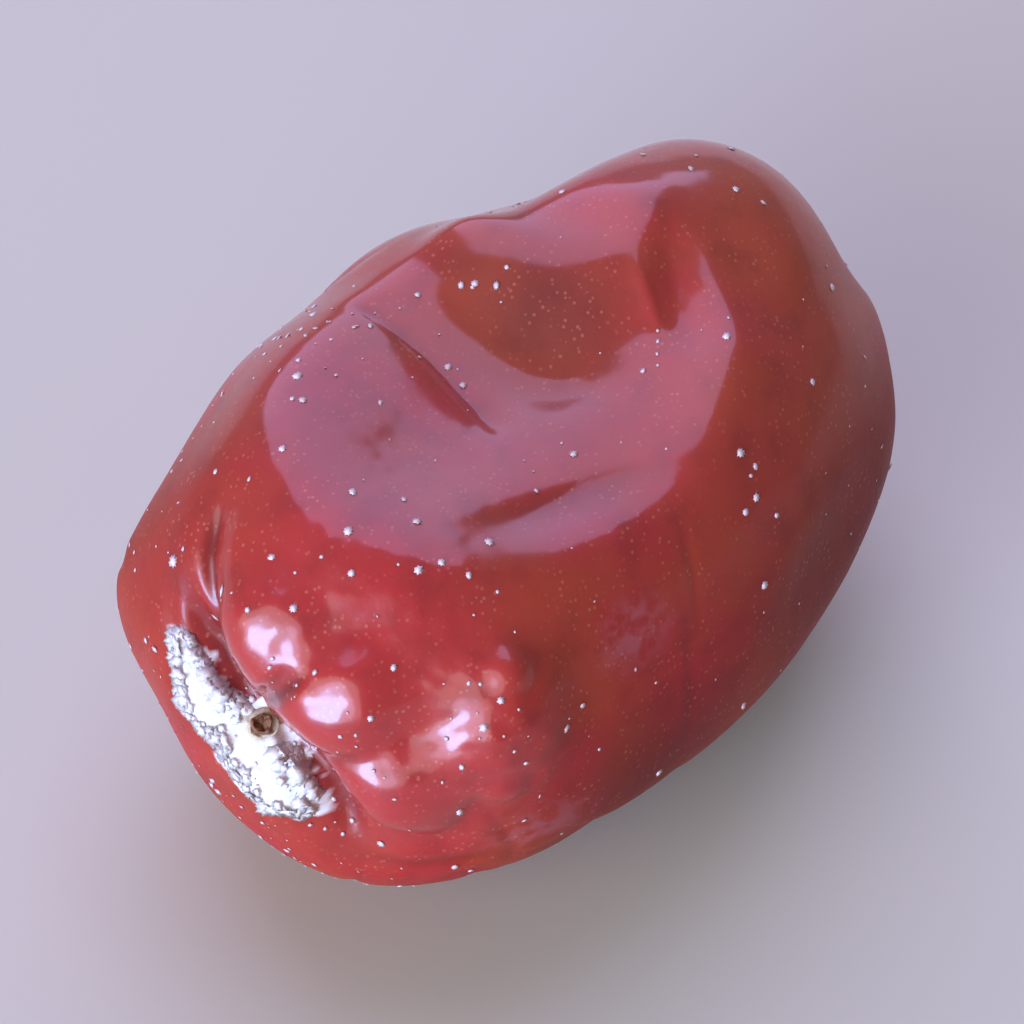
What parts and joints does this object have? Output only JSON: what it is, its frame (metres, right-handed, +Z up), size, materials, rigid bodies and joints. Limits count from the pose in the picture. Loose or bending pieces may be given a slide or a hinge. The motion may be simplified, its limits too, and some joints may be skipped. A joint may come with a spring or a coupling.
{
  "type": "oleaster fruit",
  "caption": "Dried oleaster fruit, oval with a wrinkled glossy red-brown skin dotted with silvery scales and a puckered stalk end, lying on its side.",
  "frame": {"origin": "middle of the bounding box in plan, at the height of the surface that the fruit lies on", "axes": "+X along the fruit from the stalk end to the tip end, +Y to the fruit's side, +Z up"},
  "size_m": [0.0232, 0.0156, 0.0146],
  "materials": {
    "skin": "gloss",
    "scurf": "satin",
    "scar": "matte"
  },
  "bodies": {
    "root": {"fruit": "skin"}
  },
  "joints": []
}
